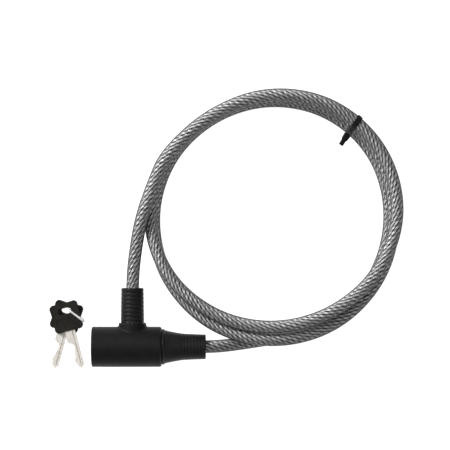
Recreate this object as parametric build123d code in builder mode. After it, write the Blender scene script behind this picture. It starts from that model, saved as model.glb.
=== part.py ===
from build123d import *
import math
import os

# Keyed cable lock: a barrel lock head, a 10 mm clear-coated steel cable in a coil, and two keys on a ring.
# Millimetres. +X runs from the keyway end of the barrel to its cable end, +Z up from the table.

# ---- lock head, a barrel lying along X
HEAD_Y = -9.8                     # barrel axis
HEAD_Z = 15.7                     # barrel axis height: the cover lies on the table
COVER_R = 15.7
COVER_BORE_R = 13.45
COVER_X0 = -27.9                  # keyway end
COVER_X1 = 26.4                   # cable end
GRIP_X1 = -9.9                    # the cover is a plain cylinder up to here, then drafts in
DRAFT = 0.1
END_WALL = 2.0
END_APERTURE_R = 9.2
HOUSING_X0 = COVER_X0 + END_WALL
HOUSING_X1 = 24.5

# ---- plug and its hole, along Y
PLUG_X = 3.7
COLLAR_R = 10.7
COLLAR_TOP = 8.8
COLLAR_HOLE_R = 6.0
PLUG_R = 5.4
PLUG_BORE_R = 5.8
PLUG_TIP_Y = HEAD_Y - 7.2
NECK_R = 3.3
NECK_HALF = 1.4
BOOT_Y0 = 9.2
BOOT_Y1 = 36.1
SOCKET_Y0 = 13.0
SOCKET_Y1 = 24.0

# ---- locking plate
EYE_R = 5.8
PLATE_THICK = 2.0
PLATE_X0 = -4.5
PLATE_X1 = 11.8
PLATE_HALF_Z = 8.0
CRANK = 1.5                       # eccentric pin's distance from the core's axis
CRANK_PIN_R = 0.9
CRANK_ANGLE = -45.0               # degrees from +Y, turning towards +Z

# ---- lock cylinder
SHELL_R = 7.9
SHELL_X1 = -7.0
CORE_R = 5.5
CORE_GAP = 0.1
CORE_X1 = -5.6
CORE_FLANGE_R = 6.8
CORE_FLANGE = 1.2
WAFER_COUNT = 5
WAFER_PITCH = 2.2
WAFER_X0 = -21.0
WAFER_THICK = 1.4
WAFER_HALF_Y = 2.4
WAFER_HALF_Z = 4.7
KEYWAY_HALF_Y = 1.15

# ---- tapered boot on the fixed cable end
TAPER_X1 = 61.0
TAPER = [(28.2, 13.9), (29.1, 13.0), (31.4, 12.4), (34.5, 11.8), (37.6, 11.2), (41.0, 10.6), (44.0, 10.3)]
TAPER_RIB_PITCH = 2.6
TAPER_RIB_COUNT = 6
TAPER_RIB_X0 = 44.4
TAPER_END_R = 9.6

# ---- cable
CABLE_R = 5.0
STEEL_R = 4.0
COIL_X = 112.0
COIL_Y = 93.6
COIL_STEP = 30.0                  # degrees between points of the coil
COIL_START = 150.0                # degrees, the first coil point
# distance of the cable's line from the coil's middle, and its height, every COIL_STEP, turn by turn
COIL_REACH = [91.3, 88.7, 92.3, 96.0, 97.9, 97.7, 92.9, 88.2, 87.1, 89.0, 93.0, 94.8,
              90.6, 88.4, 90.7, 94.0, 95.6, 95.2, 97.3, 98.3, 97.7, 97.0, 94.6, 91.7,
              89.4, 87.7, 88.8, 91.0, 92.9, 92.9, 94.2, 95.6]
COIL_HEIGHT = [25.8, 25.6, 25.9, 26.7, 26.7, 25.8, 25.4, 25.1, 24.7, 23.2, 19.9, 15.9,
               15.3, 15.3, 15.6, 16.4, 16.4, 15.5, 15.2, 16.0, 19.6, 16.0, 8.8, 5.1,
               5.1, 5.1, 5.3, 6.1, 6.1, 5.2, 5.0, 5.3]
# the cable's line from the plug to the coil, and from the coil to the tapered boot
PLUG_LEAD = [(3.7, SOCKET_Y1, 15.7), (3.7, 43.0, 15.7), (6.3, 66.0, 19.4),
             (11.0, 91.5, 25.3), (20.3, 117.5, 26.0)]
BOOT_LEAD = [(116.0, -3.5, 6.9), (92.5, -7.0, 8.4), (78.0, -8.9, 12.2),
             (64.0, -9.8, 15.7), (50.0, -9.8, 15.7)]

# ---- tie round the coil
TIE_WIDE = 5.0
TIE_THICK = 0.8
TIE_GAP = 0.15
TIE_RUN = 3                       # the coil run it sits on, the same in each turn
TIE_SHARE = 0.42                  # how far along that run
TAIL_TURN = 15.0                  # degrees the tail turns from straight inwards
TAIL_THICK = 1.4

# ---- keys
KEY_TILT = 3.4                    # degrees: the key tips lie on the table, the heads on the ring's lower run
KEY_X = -48.6
KEY_Y = 13.4
KEY_A_TURN = 15.0                 # degrees each blade swings from -Y, anticlockwise positive
KEY_B_TURN = -15.0
KEY_HEAD_THICK = 3.2
KEY_BLADE_THICK = 2.0
KEY_CORNER = 11.7                 # the head is a square with slightly hollow sides and round corners
KEY_SIDE = 10.9
KEY_CORNER_R = 3.1
KEY_HOLE_LONG = 10.2
KEY_HOLE_WIDE = 4.8
KEY_HOLE_UP = 4.7
KEY_BASE_Z = 1.86                 # underside of the lower key at the middle of its head
RING_X = -45.9                    # the ring's run that passes up through both heads
RING_Y = 18.3
RING_TURN = -37.0                 # degrees, the way the ring lies
RING_WIRE_R = 0.8
RING_LONG = 14.2                  # between the two upright runs
RING_TOP = 9.9                    # height of the top run's line
RING_BEND = 1.7

BARREL = Plane(origin=(0, HEAD_Y, HEAD_Z), x_dir=(1, 0, 0), z_dir=(0, 0, 1))
BARREL_AXIS = Axis((0, HEAD_Y, HEAD_Z), (1, 0, 0))
PLUG = Plane(origin=(PLUG_X, 0, HEAD_Z), x_dir=(1, 0, 0), z_dir=(0, 0, 1))
PLUG_AXIS = Axis((PLUG_X, 0, HEAD_Z), (0, 1, 0))


def across_barrel(x):
    """Plane across the barrel at x, seen from the cable end: local x is world Y, local y is world Z."""
    return Plane(origin=(x, HEAD_Y, HEAD_Z), x_dir=(0, 1, 0), z_dir=(1, 0, 0))


def across_plug(y):
    """Plane across the plug at height y, looking along +Y: local x is world Z, local y is world X."""
    return Plane(origin=(PLUG_X, y, HEAD_Z), x_dir=(0, 0, 1), z_dir=(0, 1, 0))


def ribbed(start, first, pitch, count, radius_at, groove, depth):
    """Outline points along a rubber boot: count shallow grooves, each groove wide, at the pitch."""
    points = [start]
    for i in range(count):
        a = first + i * pitch
        b = a + groove
        points += [(a - 0.25, radius_at(a)), (a, radius_at(a) - depth)]
        points += [(b, radius_at(b) - depth), (b + 0.25, radius_at(b))]
    return points


def cable_points():
    """The cable's line: out of the plug, round the coil clockwise seen from above, into the tapered boot."""
    points = [Vector(*p) for p in PLUG_LEAD]
    outward = 1 / math.cos(math.radians(COIL_STEP / 2))
    for i, (reach, height) in enumerate(zip(COIL_REACH, COIL_HEIGHT)):
        turn = math.radians(COIL_START - COIL_STEP * i)
        x = COIL_X + reach * outward * math.cos(turn)
        y = COIL_Y + reach * outward * math.sin(turn)
        points.append(Vector(x, y, height))
    return points + [Vector(*p) for p in BOOT_LEAD]


def bend_radii(points):
    """Radius of the arc at each inner point: 0.45 of its shorter run, over the tangent of half its turn."""
    radii = []
    for a, b, c in zip(points, points[1:], points[2:]):
        turn = (b - a).get_angle(c - b)
        run = min((b - a).length, (c - b).length)
        radii.append(0.45 * run / math.tan(math.radians(turn / 2)))
    return radii


os.makedirs("parts", exist_ok=True)

# ================= lock head: cover, housing, boot and fixed cable end =================
with BuildPart() as body_cover:
    with BuildSketch(BARREL):
        with BuildLine():
            Polyline((COVER_X0, 0), (COVER_X0, COVER_R - 1.0), (COVER_X0 + 0.3, COVER_R - 0.3),
                     (COVER_X0 + 1.0, COVER_R), (GRIP_X1, COVER_R), (COVER_X1 - 1.0, COVER_R - DRAFT),
                     (COVER_X1, COVER_R - 1.1), (COVER_X1, 0), close=True)
        make_face()
    revolve(axis=BARREL_AXIS)
    with BuildSketch(across_plug(HEAD_Y)):
        Circle(COLLAR_R)
    extrude(amount=COLLAR_TOP - HEAD_Y)
    seam = body_cover.edges().filter_by(GeomType.BSPLINE).sort_by(Axis.Y)[-2:]
    fillet(seam, radius=1.6)
    rim = body_cover.faces().sort_by(Axis.Y)[-1].edges()
    fillet(rim, radius=0.6)
    with BuildSketch(across_barrel(HOUSING_X0)):
        Circle(COVER_BORE_R)
    extrude(amount=COVER_X1 - HOUSING_X0, mode=Mode.SUBTRACT)
    with BuildSketch(across_barrel(COVER_X0)):
        Circle(END_APERTURE_R)
    extrude(amount=END_WALL, mode=Mode.SUBTRACT)
    with BuildSketch(across_plug(HEAD_Y)):
        Circle(COLLAR_HOLE_R)
    extrude(amount=COLLAR_TOP - HEAD_Y, mode=Mode.SUBTRACT)
body_cover.part.label = "body_cover"
export_step(body_cover.part, "parts/body_cover.step")

with BuildPart() as lock_housing:
    with BuildSketch(across_barrel(HOUSING_X0)):
        Circle(COVER_BORE_R)
    extrude(amount=HOUSING_X1 - HOUSING_X0)
    # seat of the lock cylinder, with the chamber behind it for the clip and the eccentric pin
    with BuildSketch(across_barrel(HOUSING_X0)):
        Circle(SHELL_R)
    extrude(amount=SHELL_X1 - HOUSING_X0, mode=Mode.SUBTRACT)
    with BuildSketch(across_barrel(SHELL_X1)):
        Circle(7.3)
    extrude(amount=4.4, mode=Mode.SUBTRACT)
    # hole for the plug, blind
    with BuildSketch(across_plug(PLUG_TIP_Y - 0.8)):
        Circle(PLUG_BORE_R)
    extrude(amount=30.0, mode=Mode.SUBTRACT)
    # slot for the locking plate, open at the top so that the plate can be dropped in
    with BuildSketch(Plane.XY.offset(HEAD_Z - PLATE_HALF_Z - 0.3)):
        with Locations(((PLATE_X0 + PLATE_X1) / 2, HEAD_Y)):
            Rectangle(PLATE_X1 - PLATE_X0 + 0.6, PLATE_THICK + 0.3)
    extrude(amount=PLATE_HALF_Z + 16.0, mode=Mode.SUBTRACT)
    # seat of the cable's ferrule
    with BuildSketch(across_barrel(HOUSING_X1)):
        Circle(6.4)
    extrude(amount=-11.3, mode=Mode.SUBTRACT)
    # holes for the cylinder's pin and the ferrule's screw
    with BuildSketch(Plane.XY.offset(HEAD_Z + 3.0)):
        with Locations((-24.4, HEAD_Y)):
            Circle(1.0)
        with Locations((19.0, HEAD_Y)):
            Circle(2.0)
    extrude(amount=12.0, mode=Mode.SUBTRACT)
lock_housing.part.label = "lock_housing"
export_step(lock_housing.part, "parts/lock_housing.step")

with BuildPart() as cylinder_shell:
    with BuildSketch(across_barrel(HOUSING_X0)):
        Circle(SHELL_R)
    extrude(amount=SHELL_X1 - HOUSING_X0)
    with BuildSketch(across_barrel(HOUSING_X0)):
        Circle(CORE_R + CORE_GAP)
    extrude(amount=SHELL_X1 - HOUSING_X0, mode=Mode.SUBTRACT)
    with BuildSketch(across_barrel(HOUSING_X0)):
        Circle(CORE_FLANGE_R + CORE_GAP)
    extrude(amount=CORE_FLANGE + 0.1, mode=Mode.SUBTRACT)
    # grooves the wafers spring into, at both ends of the core's turn
    with BuildSketch(across_barrel(WAFER_X0 - 1.2)):
        with Locations((0, 3.4)):
            Rectangle(2 * WAFER_HALF_Y + 0.6, 6.6)
        with Locations((-3.4, 0)):
            Rectangle(6.6, 2 * WAFER_HALF_Y + 0.6)
    extrude(amount=(WAFER_COUNT - 1) * WAFER_PITCH + 2.4, mode=Mode.SUBTRACT)
    with BuildSketch(Plane.XY.offset(HEAD_Z + 7.1)):
        with Locations((-24.4, HEAD_Y)):
            Circle(1.0)
    extrude(amount=2.0, mode=Mode.SUBTRACT)
cylinder_shell.part.label = "cylinder_shell"
export_step(cylinder_shell.part, "parts/cylinder_shell.step")

with BuildPart() as cylinder_pin:
    with BuildSketch(Plane.XY.offset(HEAD_Z + 7.1)):
        with Locations((-24.4, HEAD_Y)):
            Circle(1.0)
    extrude(amount=5.8)
cylinder_pin.part.label = "cylinder_pin"
export_step(cylinder_pin.part, "parts/cylinder_pin.step")

with BuildPart() as cable_ferrule:
    with BuildSketch(across_barrel(HOUSING_X1)):
        Circle(6.4)
        Circle(STEEL_R, mode=Mode.SUBTRACT)
    extrude(amount=-11.3)
    with BuildSketch(Plane.XY.offset(HEAD_Z + 5.4)):
        with Locations((19.0, HEAD_Y)):
            Circle(2.0)
    extrude(amount=2.0, mode=Mode.SUBTRACT)
cable_ferrule.part.label = "cable_ferrule"
export_step(cable_ferrule.part, "parts/cable_ferrule.step")

with BuildPart() as ferrule_screw:
    with BuildSketch(Plane.XY.offset(HEAD_Z + 5.4)):
        with Locations((19.0, HEAD_Y)):
            Circle(2.0)
    extrude(amount=7.4)
    with BuildSketch(Plane.XY.offset(HEAD_Z + 12.8)):
        with Locations((19.0, HEAD_Y)):
            RegularPolygon(1.1, 6)
    extrude(amount=-1.6, mode=Mode.SUBTRACT)
ferrule_screw.part.label = "ferrule_screw"
export_step(ferrule_screw.part, "parts/ferrule_screw.step")


def taper_radius(x):
    """Radius of the tapered boot's ribbed stretch at x."""
    share = (x - TAPER[-1][0]) / (TAPER_X1 - TAPER[-1][0])
    return TAPER[-1][1] + share * (TAPER_END_R - TAPER[-1][1])


with BuildPart() as tapered_boot:
    with BuildSketch(BARREL):
        with BuildLine():
            outline = [(HOUSING_X1, CABLE_R), (HOUSING_X1, COVER_BORE_R), (26.9, COVER_BORE_R), (26.9, 13.9)]
            outline += TAPER[:-1]
            outline += ribbed(TAPER[-1], TAPER_RIB_X0, TAPER_RIB_PITCH, TAPER_RIB_COUNT,
                              taper_radius, 0.9, 0.3)
            outline += [(TAPER_X1 - 0.9, TAPER_END_R), (TAPER_X1 - 0.25, TAPER_END_R - 0.3)]
            outline += [(TAPER_X1, TAPER_END_R - 1.0), (TAPER_X1, CABLE_R)]
            Polyline(*outline, close=True)
        make_face()
    revolve(axis=BARREL_AXIS)
tapered_boot.part.label = "tapered_boot"
export_step(tapered_boot.part, "parts/tapered_boot.step")

# ================= lock cylinder core =================
with BuildPart() as cylinder_core:
    with BuildSketch(across_barrel(HOUSING_X0)):
        Circle(CORE_R)
    extrude(amount=CORE_X1 - HOUSING_X0)
    with BuildSketch(across_barrel(HOUSING_X0)):
        Circle(CORE_FLANGE_R)
    extrude(amount=CORE_FLANGE)
    # keyway, then the wafers' slots across it
    with BuildSketch(across_barrel(HOUSING_X0)):
        Rectangle(2 * KEYWAY_HALF_Y, 7.8)
    extrude(amount=16.8, mode=Mode.SUBTRACT)
    for i in range(WAFER_COUNT):
        with BuildSketch(across_barrel(WAFER_X0 + i * WAFER_PITCH - WAFER_THICK / 2 - 0.1)):
            Rectangle(2 * WAFER_HALF_Y + 0.2, 20.0)
        extrude(amount=WAFER_THICK + 0.2, mode=Mode.SUBTRACT)
    # groove for the clip, and the eccentric pin that drives the locking plate
    with BuildSketch(across_barrel(SHELL_X1 + 0.2)):
        Circle(CORE_R + 1)
        Circle(4.6, mode=Mode.SUBTRACT)
    extrude(amount=0.8, mode=Mode.SUBTRACT)
    with BuildSketch(across_barrel(CORE_X1)):
        with PolarLocations(CRANK, 1, start_angle=CRANK_ANGLE):
            Circle(CRANK_PIN_R)
    extrude(amount=2.8)
cylinder_core.part.label = "cylinder_core"
export_step(cylinder_core.part, "parts/cylinder_core.step")

with BuildPart() as core_clip:
    with BuildSketch(across_barrel(SHELL_X1 + 0.2)):
        Circle(6.6)
        Circle(4.6, mode=Mode.SUBTRACT)
        with Locations((0, -5.5)):
            Rectangle(4.0, 6.0, mode=Mode.SUBTRACT)
    extrude(amount=0.8)
core_clip.part.label = "core_clip"
export_step(core_clip.part, "parts/core_clip.step")

for i in range(WAFER_COUNT):
    cut = 0.35 * ((2 * i) % 5)    # each wafer's window sits at its own height
    with BuildPart() as wafer:
        with BuildSketch(across_barrel(WAFER_X0 + i * WAFER_PITCH - WAFER_THICK / 2)):
            Rectangle(2 * WAFER_HALF_Y, 2 * WAFER_HALF_Z)
            with Locations((0, 0.7 - cut)):
                Rectangle(2 * KEYWAY_HALF_Y, 6.2, mode=Mode.SUBTRACT)
        extrude(amount=WAFER_THICK)
    wafer.part.label = f"wafer_{i + 1}"
    export_step(wafer.part, f"parts/wafer_{i + 1}.step")

# ================= locking plate =================
with BuildPart() as locking_plate:
    with BuildSketch(across_plug(HEAD_Y - PLATE_THICK / 2)):
        with Locations((0, (PLATE_X0 + PLATE_X1) / 2 - PLUG_X)):
            Rectangle(2 * PLATE_HALF_Z, PLATE_X1 - PLATE_X0)
        Circle(EYE_R, mode=Mode.SUBTRACT)
    extrude(amount=PLATE_THICK)
    slot_z = CRANK * math.sin(math.radians(CRANK_ANGLE))
    with BuildSketch(across_barrel(PLATE_X0)):
        with Locations((1.6, slot_z)):
            Rectangle(5.2, 5.2)
    extrude(amount=1.6)
    with BuildSketch(across_barrel(PLATE_X0 - 0.1)):
        with Locations((1.35, slot_z)):
            SlotOverall(2.9, 2 * CRANK_PIN_R + 0.3)
    extrude(amount=2.0, mode=Mode.SUBTRACT)
locking_plate.part.label = "locking_plate"
export_step(locking_plate.part, "parts/locking_plate.step")

# ================= plug, its sleeve and boot =================
with BuildPart() as plug_pin:
    with BuildSketch(PLUG):
        with BuildLine():
            Polyline((0, PLUG_TIP_Y), (PLUG_R - 1.6, PLUG_TIP_Y), (PLUG_R, PLUG_TIP_Y + 1.6),
                     (PLUG_R, HEAD_Y - NECK_HALF), (NECK_R, HEAD_Y - NECK_HALF),
                     (NECK_R, HEAD_Y + NECK_HALF), (PLUG_R, HEAD_Y + NECK_HALF),
                     (PLUG_R, BOOT_Y0), (8.0, BOOT_Y0), (8.0, 12.0), (7.2, 12.0), (7.2, SOCKET_Y1),
                     (5.6, SOCKET_Y1), (5.6, SOCKET_Y0), (0, SOCKET_Y0), close=True)
        make_face()
    revolve(axis=PLUG_AXIS)
plug_pin.part.label = "plug_pin"
export_step(plug_pin.part, "parts/plug_pin.step")

with BuildPart() as plug_sleeve:
    with BuildSketch(across_plug(SOCKET_Y0)):
        Circle(5.6)
        Circle(STEEL_R, mode=Mode.SUBTRACT)
    extrude(amount=SOCKET_Y1 - SOCKET_Y0)
plug_sleeve.part.label = "plug_sleeve"
export_step(plug_sleeve.part, "parts/plug_sleeve.step")


def boot_radius(y):
    """Radius of the plug's boot at y: 9.1 mm at its foot, 8.7 mm at its top."""
    return 9.1 - 0.4 * (y - BOOT_Y0) / (BOOT_Y1 - BOOT_Y0)


with BuildPart() as plug_boot:
    with BuildSketch(PLUG):
        with BuildLine():
            outer = ribbed((BOOT_Y0, 9.1), BOOT_Y0 + 1.4, 3.05, 8, boot_radius, 0.9, 0.55)
            points = [(CABLE_R, SOCKET_Y1), (7.2, SOCKET_Y1), (7.2, 12.0), (8.0, 12.0), (8.0, BOOT_Y0)]
            points += [(r, y) for y, r in outer]
            points += [(8.7, BOOT_Y1 - 0.6), (8.1, BOOT_Y1), (CABLE_R, BOOT_Y1)]
            Polyline(*points, close=True)
        make_face()
    revolve(axis=PLUG_AXIS)
plug_boot.part.label = "plug_boot"
export_step(plug_boot.part, "parts/plug_boot.step")

# ================= cable =================
route = cable_points()
radii = bend_radii(route)
print("cable bend radii:", [round(r) for r in radii])
route_length = sum((b - a).length for a, b in zip(route, route[1:]))
with BuildPart() as cable_core:
    with BuildLine():
        FilletPolyline(*route, radius=radii)
    with BuildSketch(across_plug(route[0].Y)):
        Circle(STEEL_R)
    sweep()
    line_volume = cable_core.part.volume
    with BuildSketch(across_plug(SOCKET_Y0)):
        Circle(STEEL_R)
    extrude(amount=route[0].Y - SOCKET_Y0)
    with BuildSketch(across_barrel(HOUSING_X1 - 11.3)):
        Circle(STEEL_R)
    extrude(amount=route[-1].X - HOUSING_X1 + 11.3)
cable_core.part.label = "cable_core"
export_step(cable_core.part, "parts/cable_core.step")
print("cable line, mm:", round(line_volume / (math.pi * STEEL_R ** 2), 1), "runs", round(route_length, 1))

with BuildPart() as cable_jacket:
    with BuildLine():
        FilletPolyline(*route, radius=radii)
    with BuildSketch(across_plug(route[0].Y)):
        Circle(CABLE_R)
        Circle(STEEL_R, mode=Mode.SUBTRACT)
    sweep()
    with BuildSketch(across_barrel(HOUSING_X1)):
        Circle(CABLE_R)
        Circle(STEEL_R, mode=Mode.SUBTRACT)
    extrude(amount=route[-1].X - HOUSING_X1)
cable_jacket.part.label = "cable_jacket"
export_step(cable_jacket.part, "parts/cable_jacket.step")

# ================= tie round the three turns =================
first = len(PLUG_LEAD) + TIE_RUN
per_turn = round(360 / COIL_STEP)
runs = [(route[first + per_turn * k], route[first + per_turn * k + 1]) for k in range(3)]
middles = [a + (b - a) * TIE_SHARE for a, b in runs]
along = (runs[1][1] - runs[1][0]).normalized()
along = Vector(along.X, along.Y, 0).normalized()
tie_plane = Plane(origin=middles[1], x_dir=(along.Y, -along.X, 0), z_dir=along)
spots = [tie_plane.to_local_coords(m) for m in middles]
with BuildPart() as twist_tie:
    with BuildSketch(tie_plane.offset(-TIE_WIDE / 2)):
        for s in spots:
            with Locations((s.X, s.Y)):
                Circle(CABLE_R + TIE_GAP + TIE_THICK)
        make_hull()
    extrude(amount=TIE_WIDE)
    with BuildSketch(tie_plane.offset(-TIE_WIDE / 2)):
        for s in spots:
            with Locations((s.X, s.Y)):
                Circle(CABLE_R + TIE_GAP)
        make_hull()
    extrude(amount=TIE_WIDE, mode=Mode.SUBTRACT)
    # twisted neck and flat tail on the coil's inner side
    neck = middles[1] + tie_plane.x_dir * (CABLE_R + TIE_GAP + TIE_THICK)
    with BuildSketch(Plane(origin=neck, z_dir=tie_plane.x_dir)):
        Circle(1.3)
    extrude(amount=3.0)
    tail_way = tie_plane.x_dir.rotate(Axis.Z, TAIL_TURN)
    tail_plane = Plane(origin=neck + tie_plane.x_dir * 1.8 - Vector(0, 0, TAIL_THICK / 2),
                       x_dir=tail_way, z_dir=(0, 0, 1))
    with BuildSketch(tail_plane):
        with BuildLine():
            Polyline((0, -0.9), (2.2, -2.3), (7.6, -2.2), (9.6, -1.6), (9.6, 1.6), (7.6, 2.2), (2.2, 2.3),
                     (0, 0.9), close=True)
        make_face()
    extrude(amount=TAIL_THICK)
twist_tie.part.label = "twist_tie"
export_step(twist_tie.part, "parts/twist_tie.step")
print("tie plane", tie_plane, [(round(s.X, 2), round(s.Y, 2)) for s in spots])


# ================= keys on their ring =================
def key_plane(turn, lift):
    """A key's own plane: origin at the head's middle, local -y along the blade, tipped down to the table."""
    tip = Vector(0, -math.sin(math.radians(KEY_TILT)), math.cos(math.radians(KEY_TILT)))
    base = Vector(KEY_X, KEY_Y, KEY_BASE_Z) + tip * lift
    right = Vector(math.cos(math.radians(turn)), math.sin(math.radians(turn)), 0)
    right = (right - tip * right.dot(tip)).normalized()
    return Plane(origin=base, x_dir=right, z_dir=tip)


BLADE = [(3.9, -6.0), (3.8, -39.4), (1.3, -41.9), (0.2, -40.9), (-0.6, -40.1), (-1.2, -39.0), (-2.0, -37.6),
         (-1.9, -36.4), (-2.5, -35.2), (-2.4, -34.0), (-1.6, -33.0), (-1.5, -31.8), (-0.9, -30.6),
         (-1.0, -29.4), (-0.4, -28.2), (-0.5, -27.0), (0.3, -25.6), (0.4, -24.2), (-0.4, -22.6),
         (-2.2, -21.3), (-3.9, -20.4), (-4.4, -18.8), (-4.1, -14.6), (-4.2, -6.0)]

for name, turn, lift in (("key_b", KEY_B_TURN, 0.0), ("key_a", KEY_A_TURN, KEY_HEAD_THICK + 0.15)):
    place = key_plane(turn, lift)
    blade_z = (KEY_HEAD_THICK - KEY_BLADE_THICK) / 2
    with BuildPart() as blade:
        with BuildSketch(place.offset(blade_z)):
            with BuildLine():
                Polyline(*BLADE, close=True)
            make_face()
        extrude(amount=KEY_BLADE_THICK)
        # milled groove along the upper face
        with BuildSketch(place.offset(blade_z + KEY_BLADE_THICK)):
            with Locations((2.0, -24.6)):
                Rectangle(1.1, 28.0)
        extrude(amount=-0.6, mode=Mode.SUBTRACT)
    blade.part.label = f"{name}_blade"
    export_step(blade.part, f"parts/{name}_blade.step")

    with BuildPart() as head:
        with BuildSketch(place) as head_sketch:
            with BuildLine():
                ThreePointArc((-KEY_CORNER, -KEY_CORNER), (0, -KEY_SIDE), (KEY_CORNER, -KEY_CORNER))
                ThreePointArc((KEY_CORNER, -KEY_CORNER), (KEY_SIDE, 0), (KEY_CORNER, KEY_CORNER))
                ThreePointArc((KEY_CORNER, KEY_CORNER), (0, KEY_SIDE), (-KEY_CORNER, KEY_CORNER))
                ThreePointArc((-KEY_CORNER, KEY_CORNER), (-KEY_SIDE, 0), (-KEY_CORNER, -KEY_CORNER))
            make_face()
            fillet(head_sketch.vertices(), radius=KEY_CORNER_R)
        extrude(amount=KEY_HEAD_THICK)
        with BuildSketch(place):
            with Locations((0, KEY_HOLE_UP)):
                SlotOverall(KEY_HOLE_LONG, KEY_HOLE_WIDE)
        extrude(amount=KEY_HEAD_THICK, mode=Mode.SUBTRACT)
        # shallow panel across the lower half of the upper face
        with BuildSketch(place.offset(KEY_HEAD_THICK)):
            with Locations((0, -4.1)):
                RectangleRounded(17.0, 6.4, 1.2)
        extrude(amount=-0.35, mode=Mode.SUBTRACT)
        # slot the blade is moulded into
        with BuildSketch(place.offset(blade_z)):
            with BuildLine():
                Polyline(*BLADE, close=True)
            make_face()
        extrude(amount=KEY_BLADE_THICK, mode=Mode.SUBTRACT)
    head.part.label = f"{name}_head"
    export_step(head.part, f"parts/{name}_head.step")

along = Vector(math.cos(math.radians(RING_TURN)), math.sin(math.radians(RING_TURN)), 0)
foot = Vector(RING_X, RING_Y, RING_WIRE_R)
rise = Vector(0, 0, RING_TOP - RING_WIRE_R)
with BuildPart() as key_ring:
    with BuildLine() as loop:
        FilletPolyline(foot, foot + along * RING_LONG, foot + along * RING_LONG + rise, foot + rise,
                       radius=RING_BEND, close=True)
    with BuildSketch(Plane(origin=loop.line @ 0, z_dir=loop.line % 0)):
        Circle(RING_WIRE_R)
    sweep(path=loop.line)
key_ring.part.label = "key_ring"
export_step(key_ring.part, "parts/key_ring.step")
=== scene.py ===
import math

import bpy
import numpy as np
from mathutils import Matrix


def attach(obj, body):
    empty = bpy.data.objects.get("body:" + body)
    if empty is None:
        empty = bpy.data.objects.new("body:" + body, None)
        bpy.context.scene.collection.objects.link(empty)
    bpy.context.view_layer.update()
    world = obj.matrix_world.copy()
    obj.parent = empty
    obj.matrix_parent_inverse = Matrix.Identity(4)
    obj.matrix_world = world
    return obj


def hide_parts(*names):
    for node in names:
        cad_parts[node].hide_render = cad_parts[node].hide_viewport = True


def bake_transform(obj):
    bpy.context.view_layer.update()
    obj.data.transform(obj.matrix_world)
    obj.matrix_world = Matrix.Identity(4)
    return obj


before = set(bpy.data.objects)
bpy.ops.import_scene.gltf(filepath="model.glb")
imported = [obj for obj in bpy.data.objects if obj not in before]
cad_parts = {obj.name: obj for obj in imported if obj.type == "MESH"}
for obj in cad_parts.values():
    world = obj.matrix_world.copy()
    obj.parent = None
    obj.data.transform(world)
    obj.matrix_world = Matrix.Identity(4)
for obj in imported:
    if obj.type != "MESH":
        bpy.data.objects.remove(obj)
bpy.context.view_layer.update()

# Metres, in the lock's own frame: +X along the barrel to its cable end, +Z up from the table. The cable's
# control points and the boots' outlines are in millimetres, and are divided by 1000 where they are used.
HEAD_Y, HEAD_Z = -0.0098, 0.0157          # the barrel's axis
PLUG_X = 0.0037                           # the plug's axis, along +Y
CABLE_R = 0.005                           # outside of the clear coat
COIL_X, COIL_Y = 0.112, 0.0936            # middle of the coil
VIEW_X, VIEW_Y = 0.0759, 0.0852           # point under the camera
VIEW_HEIGHT = 1.6                         # camera above the barrel's axis
VIEW_WIDTH = 0.351                        # width of the view at that axis
SENSOR = 36                               # camera's sensor, mm


# ---------------------------------------------------------------- camera
def look_straight_down():
    """A long lens high above the table, straight down, with +Y up the view."""
    lens = bpy.data.cameras.new("camera")
    lens.sensor_width = SENSOR
    lens.lens = SENSOR * VIEW_HEIGHT / VIEW_WIDTH
    lens.clip_end = 10
    camera = bpy.data.objects.new("camera", lens)
    camera.location = (VIEW_X, VIEW_Y, HEAD_Z + VIEW_HEIGHT)
    bpy.context.collection.objects.link(camera)
    bpy.context.scene.camera = camera


look_straight_down()


# ---------------------------------------------------------------- shader sums
class Val:
    """A shader socket that can be added, multiplied and so on. Each sign adds one Math node."""

    def __init__(self, paint, socket):
        self.paint, self.socket = paint, socket

    def do(self, operation, *others):
        return self.paint.node("ShaderNodeMath", {"operation": operation}, [self, *others])

    def __add__(self, other): return self.do("ADD", other)
    def __mul__(self, other): return self.do("MULTIPLY", other)
    def __sub__(self, other): return self.do("SUBTRACT", other)
    __radd__, __rmul__ = __add__, __mul__

    def __rsub__(self, other):
        return self.paint.node("ShaderNodeMath", {"operation": "SUBTRACT"}, [other, self])

    def clamp(self, low=0.0, high=1.0):
        return self.do("MAXIMUM", low).do("MINIMUM", high)

    def step(self, low, high):
        """0 below low, 1 above high, smooth between."""
        return self.paint.node("ShaderNodeMapRange", {"interpolation_type": "SMOOTHSTEP"},
                               {"Value": self, "From Min": low, "From Max": high})


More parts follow.
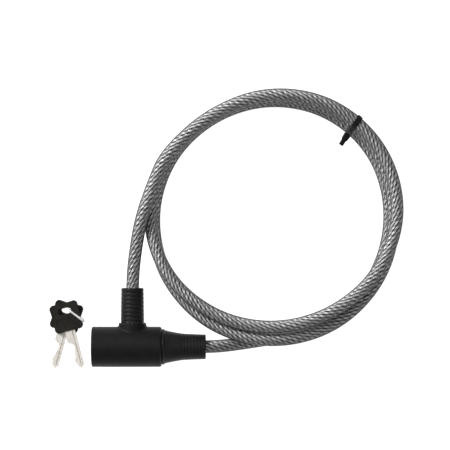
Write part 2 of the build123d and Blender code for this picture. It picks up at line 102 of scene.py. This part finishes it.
class Paint:
    """One material being built: its nodes and its Principled shader."""

    def __init__(self, name, **fixed):
        self.material = bpy.data.materials.new(name)
        self.material.use_nodes = True
        self.tree = self.material.node_tree
        self.shader = self.tree.nodes["Principled BSDF"]
        for socket, value in fixed.items():
            self.set(socket.replace("_", " "), value)

    def node(self, kind, settings=None, inputs=(), out=0):
        """Adds a node, sets its settings, then its inputs by name or order, and returns one output."""
        made = self.tree.nodes.new(kind)
        for key, value in (settings or {}).items():
            setattr(made, key, value)
        for key, value in (inputs.items() if isinstance(inputs, dict) else enumerate(inputs)):
            self.feed(made.inputs[key], value)
        return Val(self, made.outputs[out])

    def feed(self, socket, value):
        if isinstance(value, Val):
            self.tree.links.new(value.socket, socket)
        elif isinstance(value, tuple) and socket.type == "RGBA":
            socket.default_value = (*value, 1)
        else:
            socket.default_value = value

    def set(self, socket, value):
        self.feed(self.shader.inputs[socket], value)

    def place(self, scale=(1, 1, 1)):
        """The piece's own coordinates in metres, stretched by scale."""
        here = self.node("ShaderNodeTexCoord", out="Object")
        return self.node("ShaderNodeVectorMath", {"operation": "MULTIPLY"}, [here, scale])

    def noise(self, scale, detail=2.0, where=None):
        """Cloudy noise from 0 to 1, scale blobs a metre."""
        inputs = {"Vector": where or self.place(), "Scale": scale, "Detail": detail}
        return self.node("ShaderNodeTexNoise", None, inputs)

    def attribute(self, name):
        return self.node("ShaderNodeAttribute", {"attribute_name": name}, out="Fac")

    def mix(self, amount, first, second):
        """Colour first where amount is 0 and second where it is 1."""
        made = self.tree.nodes.new("ShaderNodeMix")
        made.data_type = "RGBA"
        for socket, value in zip((made.inputs[0], made.inputs[6], made.inputs[7]), (amount, first, second)):
            self.feed(socket, value)
        return Val(self, made.outputs[2])

    def bump(self, height, depth):
        """Normals that tilt as a surface of that height, times depth in metres, would."""
        return self.node("ShaderNodeBump", None, {"Height": height, "Distance": depth, "Strength": 1.0})


def moulded(name, dark, light, rough, grain, sheen, specks=0.0, grooves=0.0):
    """Black moulded plastic or rubber: cloudy colour, fine grain, and roughness that wanders. Specks make the
    grain coarser. Grooves, where the piece has them, are painted darker by that share, as painted shade."""
    p = Paint(name, Specular_IOR_Level=sheen)
    cloud = p.noise(160, 3)
    grit = p.noise(2600, 2)
    fine = p.noise(900, 3)
    shade = p.mix((cloud * 0.7 + fine * 0.3).step(0.3, 0.75), dark, light)
    # painted shade: the colour in the grooves is darkened toward black
    if grooves:
        shade = p.mix(p.attribute("groove") * grooves, shade, (0.0, 0.0, 0.0))
    p.set("Base Color", shade)
    p.set("Roughness", (rough + (fine - 0.5) * 0.22 + (cloud - 0.5) * 0.12).clamp(0.15, 0.95))
    p.set("Normal", p.bump(grit * 0.6 + fine * (0.4 + specks), grain))
    return p.material


def metal(name, dark, light, rough, streaks, metallic=1.0, grain=0.00002):
    """Worn metal: fine streaks stretched by the three numbers, with blotches of tarnish."""
    p = Paint(name, Metallic=metallic)
    lines = p.noise(1.0, 3, p.place(streaks))
    cloud = p.noise(220, 3)
    p.set("Base Color", p.mix((cloud * 0.6 + lines * 0.4).step(0.3, 0.7), dark, light))
    p.set("Roughness", (rough + (lines - 0.5) * 0.3 + (cloud - 0.5) * 0.15).clamp(0.08, 0.9))
    p.set("Normal", p.bump(lines, grain))
    return p.material


def clear_coat():
    """Clear glossy vinyl: see-through with a faint haze and a soft shine, and nearly solid dark where it is
    seen edge-on."""
    p = Paint("clear_vinyl", Base_Color=(0.03, 0.03, 0.028), Specular_IOR_Level=0.12)
    p.set("Roughness", 0.2 + p.noise(300, 2) * 0.12)
    edge = p.node("ShaderNodeLayerWeight", None, {"Blend": 0.5}, out="Facing")
    through = p.node("ShaderNodeBsdfTransparent")
    cover = edge.step(0.28, 0.52) * 0.9 + 0.02 + p.noise(120, 2) * 0.04
    mixed = p.node("ShaderNodeMixShader", None, [cover.clamp(), through, Val(p, p.shader.outputs[0])])
    p.tree.links.new(mixed.socket, p.tree.nodes["Material Output"].inputs["Surface"])
    return p.material


def stranded_steel():
    """Bright drawn wire with painted light: pale, a painted highlight, where the crest attribute is high, and
    nearly black, painted shade, in the gaps between wires.
    """
    p = Paint("stranded_steel", Metallic=1.0)
    crest = p.attribute("crest")
    tone = p.attribute("tone")
    blotch = p.noise(420, 3)
    # painted highlight and painted shade from the crest value, times the wire's own tone and blotches
    painted_light_and_tone = (crest * 0.86 + 0.14) * (0.66 + tone * 0.2 + blotch * 0.36)
    p.set("Base Color", p.mix(painted_light_and_tone.clamp(), (0.03, 0.03, 0.03), (0.84, 0.84, 0.85)))
    p.set("Roughness", (0.68 + (1 - crest) * 0.15 + (blotch - 0.5) * 0.2).clamp(0.3, 0.9))
    return p.material


COVER = moulded("cover_plastic", (0.0046, 0.0046, 0.0048), (0.0072, 0.0072, 0.0074), 0.5, 0.00003, 0.12)
# the boots' grooves get painted shade: their colour is darkened half way to black
RUBBER = moulded("boot_rubber", (0.0065, 0.0065, 0.0066), (0.0105, 0.0105, 0.0107), 0.45, 0.00003, 0.13,
                 grooves=0.5)
TIE = moulded("tie_plastic", (0.005, 0.005, 0.0055), (0.012, 0.012, 0.013), 0.5, 0.00004, 0.06)
HEAD_PLASTIC = moulded("key_plastic", (0.0085, 0.0072, 0.0055), (0.0155, 0.014, 0.0115), 0.45, 0.00006, 0.16,
                       specks=0.4)
NICKEL = metal("key_nickel", (0.56, 0.53, 0.48), (0.72, 0.695, 0.65), 0.55, (1500, 200, 1500), 0.3)
CHROME = metal("ring_chrome", (0.78, 0.77, 0.76), (0.93, 0.92, 0.91), 0.3, (900, 900, 900), 0.75)
STEEL = metal("turned_steel", (0.42, 0.42, 0.42), (0.66, 0.66, 0.66), 0.3, (300, 6000, 300))
PIN = metal("ground_steel", (0.36, 0.36, 0.37), (0.55, 0.55, 0.56), 0.35, (300, 300, 5000))
BRASS = metal("brass", (0.55, 0.40, 0.17), (0.76, 0.60, 0.30), 0.34, (5000, 400, 400))
CORE = metal("core_nickel", (0.55, 0.53, 0.49), (0.80, 0.78, 0.73), 0.28, (5000, 400, 400))
FERRULE = metal("ferrule_alloy", (0.5, 0.51, 0.52), (0.72, 0.73, 0.74), 0.42, (3000, 3000, 300))
CAST = metal("die_cast", (0.28, 0.285, 0.29), (0.42, 0.425, 0.43), 0.55, (700, 700, 700), 1.0, 0.00008)
VINYL = clear_coat()
WIRE = stranded_steel()

NODE_FINISHES = {
    "body_cover": COVER, "lock_housing": CAST, "cylinder_shell": BRASS, "cylinder_pin": PIN,
    "cable_ferrule": FERRULE, "ferrule_screw": PIN, "plug_pin": STEEL, "plug_sleeve": FERRULE,
    "cylinder_core": CORE, "core_clip": PIN, "locking_plate": STEEL, "key_ring": CHROME,
    "key_a_blade": NICKEL, "key_b_blade": NICKEL, "key_a_head": HEAD_PLASTIC, "key_b_head": HEAD_PLASTIC,
    **{f"wafer_{i}": BRASS for i in range(1, 6)}}
for node, finish in NODE_FINISHES.items():
    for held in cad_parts[node].material_slots:
        held.material = finish


# ---------------------------------------------------------------- mesh building
def surface(name, points, finish, rows_close=False, columns_close=False, sharp=None, **attributes):
    """A mesh through a grid of points, one row after another. Closed ways join their last line to their first,
    and an open tube is closed by a fan at each end. The faces are turned over if the solid would be inside out.
    Attributes are values for each point."""
    rows, columns = points.shape[:2]
    index = np.arange(rows * columns).reshape(rows, columns)
    down = np.vstack([index, index[:1]]) if rows_close else index
    grid = np.hstack([down, down[:, :1]]) if columns_close else down
    quads = np.stack([grid[:-1, :-1], grid[:-1, 1:], grid[1:, 1:], grid[1:, :-1]], -1).reshape(-1, 4)
    corners = points.reshape(-1, 3)
    fans = np.empty((0, 3), int)
    if columns_close and not rows_close:
        n = rows * columns
        corners = np.vstack([corners, points[0].mean(0), points[-1].mean(0)])
        near, far = grid[0], grid[-1]
        middle = np.full(columns, n)
        fans = np.vstack([np.stack([near[1:], near[:-1], middle], 1),
                          np.stack([far[:-1], far[1:], middle + 1], 1)])
    tri = np.vstack([quads[:, :3], quads[:, [0, 2, 3]], fans])
    normals = np.cross(corners[tri[:, 1]], corners[tri[:, 2]])
    if np.einsum("ij,ij->i", corners[tri[:, 0]], normals).sum() < 0:
        quads, fans = quads[:, ::-1], fans[:, ::-1]
    mesh = bpy.data.meshes.new(name)
    mesh.from_pydata(corners, [], quads.tolist() + fans.tolist())
    mesh.polygons.foreach_set("use_smooth", np.ones(len(quads) + len(fans), bool))
    if sharp is not None:
        mesh.set_sharp_from_angle(angle=math.radians(sharp))
    for key, values in attributes.items():
        flat = np.resize(values.reshape(-1), len(corners)).astype(np.float32)
        mesh.attributes.new(key, "FLOAT", "POINT").data.foreach_set("value", flat)
    mesh.materials.append(finish)
    piece = bpy.data.objects.new(name, mesh)
    bpy.context.collection.objects.link(piece)
    return piece


def unit(v):
    return v / np.linalg.norm(v, axis=-1, keepdims=True)


def turned(name, outline, origin, axis, finish, groove, around=96, sharp=50):
    """An outline of (distance along the axis, radius) points, a closed loop, turned once round the axis through
    origin. Groove is one value for each point of the outline, and marks where the finish paints shade into the
    grooves."""
    along = np.array(axis, float)
    side = unit(np.cross(along, (0, 0, 1)))
    up = np.cross(side, along)
    angle = np.linspace(0, 2 * np.pi, around, endpoint=False)
    ring = np.cos(angle)[:, None] * side + np.sin(angle)[:, None] * up
    points = np.array(origin) + outline[:, None, :1] * along + outline[:, None, 1:] * ring[None]
    return surface(name, points, finish, rows_close=True, columns_close=True, sharp=sharp,
                   groove=np.repeat(groove, around))


# ---------------------------------------------------------------- the cable
# Its line, as in the part's own source: out of the plug, round the coil clockwise from above, into the tapered
# boot. Reach is from the coil's middle, height is above the table.
COIL_REACH = [91.3, 88.7, 92.3, 96.0, 97.9, 97.7, 92.9, 88.2, 87.1, 89.0, 93.0, 94.8,
              90.6, 88.4, 90.7, 94.0, 95.6, 95.2, 97.3, 98.3, 97.7, 97.0, 94.6, 91.7,
              89.4, 87.7, 88.8, 91.0, 92.9, 92.9, 94.2, 95.6]
COIL_HEIGHT = [25.8, 25.6, 25.9, 26.7, 26.7, 25.8, 25.4, 25.1, 24.7, 23.2, 19.9, 15.9,
               15.3, 15.3, 15.6, 16.4, 16.4, 15.5, 15.2, 16.0, 19.6, 16.0, 8.8, 5.1,
               5.1, 5.1, 5.3, 6.1, 6.1, 5.2, 5.0, 5.3]
PLUG_LEAD = [(3.7, 24.0, 15.7), (3.7, 43.0, 15.7), (6.3, 66.0, 19.4), (11.0, 91.5, 25.3), (20.3, 117.5, 26.0)]
BOOT_LEAD = [(116.0, -3.5, 6.9), (92.5, -7.0, 8.4), (78.0, -8.9, 12.2), (64.0, -9.8, 15.7),
             (50.0, -9.8, 15.7)]
COIL_START, COIL_STEP = 150.0, 30.0       # degrees: first coil point, and on to the next


def cable_route():
    """Control points in metres. Each coil point is one step on from the last, at its reach over the cosine of
    half a step from the coil's middle, because the curve passes inside its control points."""
    turn = np.radians(COIL_START - COIL_STEP * np.arange(len(COIL_REACH)))
    reach = np.array(COIL_REACH) / math.cos(math.radians(COIL_STEP / 2))
    coil = np.stack([COIL_X * 1000 + reach * np.cos(turn), COIL_Y * 1000 + reach * np.sin(turn),
                     np.array(COIL_HEIGHT)], 1)
    return np.vstack([PLUG_LEAD, coil, BOOT_LEAD]) / 1000


def line_of(route):
    """The points of a quadratic spline that has the route as its control points."""
    curve = bpy.data.curves.new("cable_line", "CURVE")
    curve.dimensions = "3D"
    curve.resolution_u = 24
    spline = curve.splines.new("NURBS")
    spline.points.add(len(route) - 1)
    spline.points.foreach_set("co", np.hstack([route, np.ones((len(route), 1))]).ravel())
    spline.order_u = 3
    spline.use_endpoint_u = True
    holder = bpy.data.objects.new("cable_line", curve)
    bpy.context.collection.objects.link(holder)
    bpy.context.view_layer.update()
    mesh = bpy.data.meshes.new_from_object(holder)
    line = np.empty(len(mesh.vertices) * 3)
    mesh.vertices.foreach_get("co", line)
    bpy.data.objects.remove(holder)
    bpy.data.curves.remove(curve)
    bpy.data.meshes.remove(mesh)
    return line.reshape(-1, 3)


ROUTE = cable_route()
LINE = line_of(ROUTE)


def evenly(line, pitch):
    """The line again at even steps: distances along it, points, and unit vectors ahead, aside and up."""
    lengths = np.linalg.norm(np.diff(line, axis=0), axis=1)
    keep = np.concatenate([[True], lengths > 1e-7])
    line = line[keep]
    far = np.concatenate([[0], np.cumsum(np.linalg.norm(np.diff(line, axis=0), axis=1))])
    at = np.linspace(0, far[-1], int(far[-1] / pitch) + 1)
    points = np.stack([np.interp(at, far, line[:, k]) for k in range(3)], 1)
    ahead = unit(np.gradient(points, axis=0))
    aside = unit(np.cross(ahead, (0, 0, 1)))
    return at, points, ahead, aside, np.cross(aside, ahead)


def tube(name, line, radius, pitch, around, finish):
    """A round tube of one radius along the line."""
    at, points, ahead, aside, up = evenly(line, pitch)
    angle = np.linspace(0, 2 * np.pi, around, endpoint=False)[None, :, None]
    ring = np.cos(angle) * aside[:, None] + np.sin(angle) * up[:, None]
    return surface(name, points[:, None] + radius * ring, finish, columns_close=True), points


COAT_PITCH, COAT_SIDES = 0.0022, 28       # length and number of the coat's facets
HEART_R, HEART_PITCH, HEART_SIDES = 0.0026, 0.004, 12
STRANDS = 10
STRAND_LAY = 0.060                        # length in which a strand goes once round the cable
STRAND_REACH = 0.00380                    # strand's middle from the cable's
STRAND_R = 0.00106
STRAND_PITCH = 0.00085
WIRES = 4
WIRE_LAY = 0.020                          # length in which a wire goes once round its strand
WIRE_SIDES = 5                            # points across one wire
WIRE_SHIFT = 0.26                         # wires turned on from one strand to the next, radians
HIGHLIGHT_BAND_PITCH = 0.0052                      # painted highlight bands cross the strands at this spacing
HIGHLIGHT_BAND_SHIFT, HIGHLIGHT_BAND_SLANT = 0.6, 1.2       # painted highlight band's shift to the next strand, in pitches, and its slant


def strand(number):
    """Wires laid round a strand, itself laid the other way round the cable. With t the distance along, the
    strand's middle is at angle a0 - 2 pi t / lay. Round the strand its radius rises and falls once for each
    wire, and that outline turns once in the wire lay. Crest is painted light and shade: 1, a painted highlight,
    on the outermost wire and 0, painted shade, in the gaps, raised by painted highlight bands that slant
    across the strands the other way."""
    at, points, ahead, aside, up = evenly(LINE, STRAND_PITCH)
    turn = 2 * np.pi * (number / STRANDS - at / STRAND_LAY)
    out = np.cos(turn)[:, None] * aside + np.sin(turn)[:, None] * up
    middle = points + STRAND_REACH * out
    way = unit(np.gradient(middle, axis=0))
    out = unit(out - (out * way).sum(1, keepdims=True) * way)
    across = np.cross(way, out)
    step = np.arange(WIRES * WIRE_SIDES) / WIRE_SIDES
    radius = STRAND_R * (0.86 + 0.14 * np.cos(2 * np.pi * step))
    angle = (step * 2 * np.pi / WIRES)[None] + (2 * np.pi * at / WIRE_LAY + WIRE_SHIFT * number)[:, None]
    grid = middle[:, None] + radius[None, :, None] * (
        np.cos(angle)[..., None] * out[:, None] + np.sin(angle)[..., None] * across[:, None])
    # painted shade: crest falls toward 0 lower down the strand, in the gaps between strands, and between its
    # wires
    height = (np.linalg.norm(grid - points[:, None], axis=2) - STRAND_REACH) / STRAND_R
    crest = np.clip((height + 0.1) / 0.95, 0, 1) ** 1.3 * (0.76 + 0.24 * np.cos(2 * np.pi * step))[None]
    sideways = np.mod(angle + np.pi, 2 * np.pi) - np.pi
    # painted highlight: bright bands that slant across the strands raise crest
    phase = 2 * np.pi * (at / HIGHLIGHT_BAND_PITCH - HIGHLIGHT_BAND_SHIFT * number)
    highlight_band = 0.5 + 0.5 * np.cos(phase[:, None] - HIGHLIGHT_BAND_SLANT * sideways)
    crest = np.clip(crest * (0.62 + 0.42 * highlight_band) + 0.3 * highlight_band ** 2, 0, 1)
    tone = 0.5 + 0.5 * np.sin(step[None] // 1 * 2.4 + number * 1.7 + at[:, None] * 35)    # drifts, wire by wire
    return surface(f"cable_strand_{number + 1}", grid, WIRE, columns_close=True, crest=crest, tone=tone)


jacket, JACKET_LINE = tube("cable_coat", LINE, CABLE_R, COAT_PITCH, COAT_SIDES, VINYL)
heart, _ = tube("cable_heart", LINE, HEART_R, HEART_PITCH, HEART_SIDES, WIRE)
for key in ("crest", "tone"):             # left at 0, so what shows of the heart between strands is painted nearly black, as painted shade between the strands
    heart.data.attributes.new(key, "FLOAT", "POINT")
strands = [strand(i) for i in range(STRANDS)]

# the pieces' placings are applied to their points, and the part's own cable jacket and core are hidden
for piece in [jacket, heart, *strands]:
    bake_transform(piece)
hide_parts("cable_jacket")
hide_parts("cable_core")


# ---------------------------------------------------------------- rubber boots
def grooves(x, first, pitch, count, width):
    """1 in the middle of each of count grooves, 0 on the ribs between, with rounded shoulders."""
    nearest = first + np.clip(np.round((x - first) / pitch), 0, count - 1) * pitch
    return np.clip(1.35 - 2.7 * np.abs(x - nearest) / width, 0, 1) ** 1.5


def tapered_boot():
    """Radius falls from the flange along a hollow curve to the grooved nose, with a rounded end. The bore is
    0.02 mm wider than the cable."""
    x = np.linspace(28.2, 60.3, 190)
    r = np.interp(x, [28.2, 29.1, 31.4, 34.5, 37.6, 41.0, 44.0, 50.0, 60.0],
                  [13.9, 13.0, 12.4, 11.8, 11.2, 10.62, 10.3, 10.02, 9.62])
    cut = grooves(x, first=42.3, pitch=2.48, count=7, width=1.5)
    r = r - 0.13 * cut
    lead = [(24.6, 5.02), (24.6, 13.4), (26.85, 13.4), (27.0, 13.8), (27.2, 13.9), (28.0, 13.9)]
    nose = [(60.6, 9.45), (60.85, 9.1), (60.98, 8.6), (61.0, 8.0), (61.0, 5.6), (60.85, 5.2), (60.5, 5.03)]
    outline = np.vstack([lead, np.stack([x, r], 1), nose]) / 1000
    # cut also sets where the grooves get painted shade
    cut = np.pad(cut, (len(lead), len(nose)))
    piece = turned("cable_end_boot", outline, (0, HEAD_Y, HEAD_Z), (1, 0, 0), RUBBER, cut)
    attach(piece, "lock_head")
    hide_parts("tapered_boot")


def plug_boot():
    """A nearly straight sleeve ringed by shallow grooves, with a rounded mouth round the cable."""
    y = np.linspace(9.5, 35.3, 230)
    cut = grooves(y, first=10.7, pitch=3.17, count=8, width=2.1)
    r = 9.1 - 0.4 * (y - 9.2) / 26.9 - 0.16 * cut
    foot = [(24.0, 5.02), (24.0, 7.2), (12.0, 7.2), (12.0, 8.0), (9.22, 8.0), (9.22, 8.85), (9.3, 9.03)]
    mouth = [(35.6, 8.62), (35.85, 8.42), (36.05, 8.05), (36.1, 7.6), (36.1, 5.7), (35.95, 5.25),
             (35.6, 5.03)]
    outline = np.vstack([foot, np.stack([y, r], 1), mouth]) / 1000
    # cut also sets where the grooves get painted shade
    cut = np.pad(cut, (len(foot), len(mouth)))
    piece = turned("plug_grip", outline, (PLUG_X, 0, HEAD_Z), (0, 1, 0), RUBBER, cut)
    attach(piece, "cable_plug")
    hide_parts("plug_boot")
    return piece


tapered_boot()
grip = plug_boot()


# ---------------------------------------------------------------- tie round the coil
TIE_SHARE = 0.42                          # how far along its run of cable the tie lies
TIE_SKEW = 0.134                          # how far it leans along the cable for each metre inward
TIE_SHIFT = 0.0005
STRAP_REACH = 0.0054                      # strap's middle from the cable's
STRAP_HALF_WIDE, STRAP_HALF_THICK = 0.0022, 0.00034
STRAP_RIB, STRAP_RIB_WIDE = 0.00016, 0.0006
TAIL_START_IN, TAIL_START_ALONG, TAIL_LENGTH = 0.0078, 0.0015, 0.0108
TAIL_LEAN = 10                            # degrees


def tie_strap():
    """The strap follows the outline that wraps the three turns: at angle a the outline's furthest point that
    way is the middle of the turn lying furthest that way, plus the strap's reach. Its section is a flat oval
    with a low rib along its outer side."""
    first = len(PLUG_LEAD) + 3
    runs = [(ROUTE[first + 12 * k], ROUTE[first + 12 * k + 1]) for k in range(3)]
    middles = np.array([a + (b - a) * TIE_SHARE for a, b in runs])
    along = runs[1][1] - runs[1][0]
    along = unit(np.array([along[0], along[1], 0]))
    inward = np.array([along[1], -along[0], 0])
    flat = np.stack([(middles - middles[1]) @ inward, middles[:, 2] - middles[1][2]], 1)
    angle = np.linspace(0, 2 * np.pi, 721)[:-1]
    way = np.stack([np.cos(angle), np.sin(angle)], 1)
    pick = np.argmax(way @ flat.T, axis=1)
    loop = flat[pick] + STRAP_REACH * way
    loop = np.vstack([loop, loop[:1]])
    far = np.concatenate([[0], np.cumsum(np.linalg.norm(np.diff(loop, axis=0), axis=1))])
    at = np.linspace(0, far[-1], 181)[:-1]
    line = np.stack([np.interp(at, far, loop[:, k]) for k in range(2)], 1)
    step = unit(np.roll(line, -1, 0) - np.roll(line, 1, 0))
    outward = np.stack([step[:, 1], -step[:, 0]], 1)
    turn = np.linspace(0, 2 * np.pi, 28, endpoint=False)
    wide = STRAP_HALF_WIDE * np.sign(np.cos(turn)) * np.abs(np.cos(turn)) ** 0.45
    thick = STRAP_HALF_THICK * np.sign(np.sin(turn)) * np.abs(np.sin(turn)) ** 0.7
    thick = thick + STRAP_RIB * np.exp(-(wide / STRAP_RIB_WIDE) ** 2) * (np.sin(turn) > 0)
    place = line[:, None] + thick[None, :, None] * outward[:, None]
    grid = (middles[1] + place[..., :1] * inward + place[..., 1:] * np.array([0, 0, 1])
            + (wide[None, :, None] + TIE_SHIFT + TIE_SKEW * place[..., :1]) * along)
    strap = surface("tie_strap", grid, TIE, rows_close=True, columns_close=True)
    return strap, middles[1], inward, along


def tie_tail(base, inward, along):
    """A flat strip that leaves the strap's inner side, turns half over in its first tenth, and narrows in one
    step to a square end."""
    t = np.linspace(0, 1, 90)
    bend = np.full_like(t, np.radians(TAIL_LEAN))
    start = base + inward * TAIL_START_IN + along * TAIL_START_ALONG
    ahead = np.cos(bend)[:, None] * inward + np.sin(bend)[:, None] * along
    step = np.diff(t, prepend=0)[:, None] * TAIL_LENGTH
    line = start + np.cumsum(ahead * step, 0) + np.array([0, 0, 1]) * (0.0004 * np.sin(t * 7))[:, None]
    side = np.stack([-ahead[:, 1], ahead[:, 0], np.zeros_like(t)], 1)
    up = np.cross(ahead, side)
    spin = np.radians(180) * np.clip(t / 0.1, 0, 1)
    wide = np.interp(t, [0, 0.03, 0.1, 0.5, 0.58, 0.97, 1.0],
                     [0.0024, 0.0028, 0.0028, 0.0025, 0.0019, 0.0018, 0.0017])
    thick = np.interp(t, [0, 0.1, 0.5, 1.0], [0.0011, 0.0012, 0.0008, 0.0005])
    turn = np.linspace(0, 2 * np.pi, 24, endpoint=False)
    a = (wide[:, None] * np.sign(np.cos(turn)) * np.abs(np.cos(turn)) ** 0.7)[..., None]
    b = (thick[:, None] * np.sign(np.sin(turn)) * np.abs(np.sin(turn)) ** 0.8)[..., None]
    x = np.cos(spin)[:, None, None] * a - np.sin(spin)[:, None, None] * b
    z = np.sin(spin)[:, None, None] * a + np.cos(spin)[:, None, None] * b
    return surface("tie_tail", line[:, None] + x * side[:, None] + z * up[:, None], TIE, columns_close=True)


strap, tie_middle, tie_in, tie_along = tie_strap()
tail = tie_tail(tie_middle, tie_in, tie_along)
for piece in (strap, tail):
    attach(piece, "lock_head")
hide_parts("twist_tie")


# ---------------------------------------------------------------- floor and light
def studio():
    """A wide white table under a pale surround that is greyer overhead, with a soft lamp from the upper left
    and a weaker one above."""
    p = Paint("table_white", Base_Color=(0.3, 0.3, 0.3), Roughness=0.9, Specular_IOR_Level=0.0)
    p.set("Emission Color", (1.0, 1.0, 1.0))
    p.set("Emission Strength", 1.0)
    mesh = bpy.data.meshes.new("table")
    mesh.from_pydata([(-3, -3, 0), (3, -3, 0), (3, 3, 0), (-3, 3, 0)], [], [(0, 1, 2, 3)])
    mesh.materials.append(p.material)
    table = bpy.data.objects.new("table", mesh)
    bpy.context.collection.objects.link(table)

    world = bpy.data.worlds.new("surround")
    world.use_nodes = True
    bpy.context.scene.world = world
    nodes, links = world.node_tree.nodes, world.node_tree.links
    where = nodes.new("ShaderNodeTexCoord")
    height = nodes.new("ShaderNodeSeparateXYZ")
    ramp = nodes.new("ShaderNodeValToRGB")
    links.new(where.outputs["Generated"], height.inputs[0])
    links.new(height.outputs["Z"], ramp.inputs[0])
    for stop, place, grey in zip(ramp.color_ramp.elements, (0.0, 0.9), (0.9, 0.35)):
        stop.position = place
        stop.color = (grey, grey, grey, 1)
    links.new(ramp.outputs[0], nodes["Background"].inputs["Color"])
    nodes["Background"].inputs["Strength"].default_value = 0.8

    for name, place, size, power in (("key", (-1.4, 1.1, 1.4), 0.9, 64), ("top", (0.2, 0.5, 2.6), 1.6, 10)):
        lamp = bpy.data.lights.new(name, "AREA")
        lamp.size = size
        lamp.energy = power
        holder = bpy.data.objects.new(name, lamp)
        holder.location = place
        aim = np.array([COIL_X, COIL_Y, 0]) - np.array(place)
        flat = math.hypot(aim[0], aim[1])
        holder.rotation_euler = (math.atan2(flat, -aim[2]), 0, math.atan2(-aim[0], aim[1]))
        bpy.context.collection.objects.link(holder)


studio()
bpy.context.scene.view_settings.view_transform = "Standard"
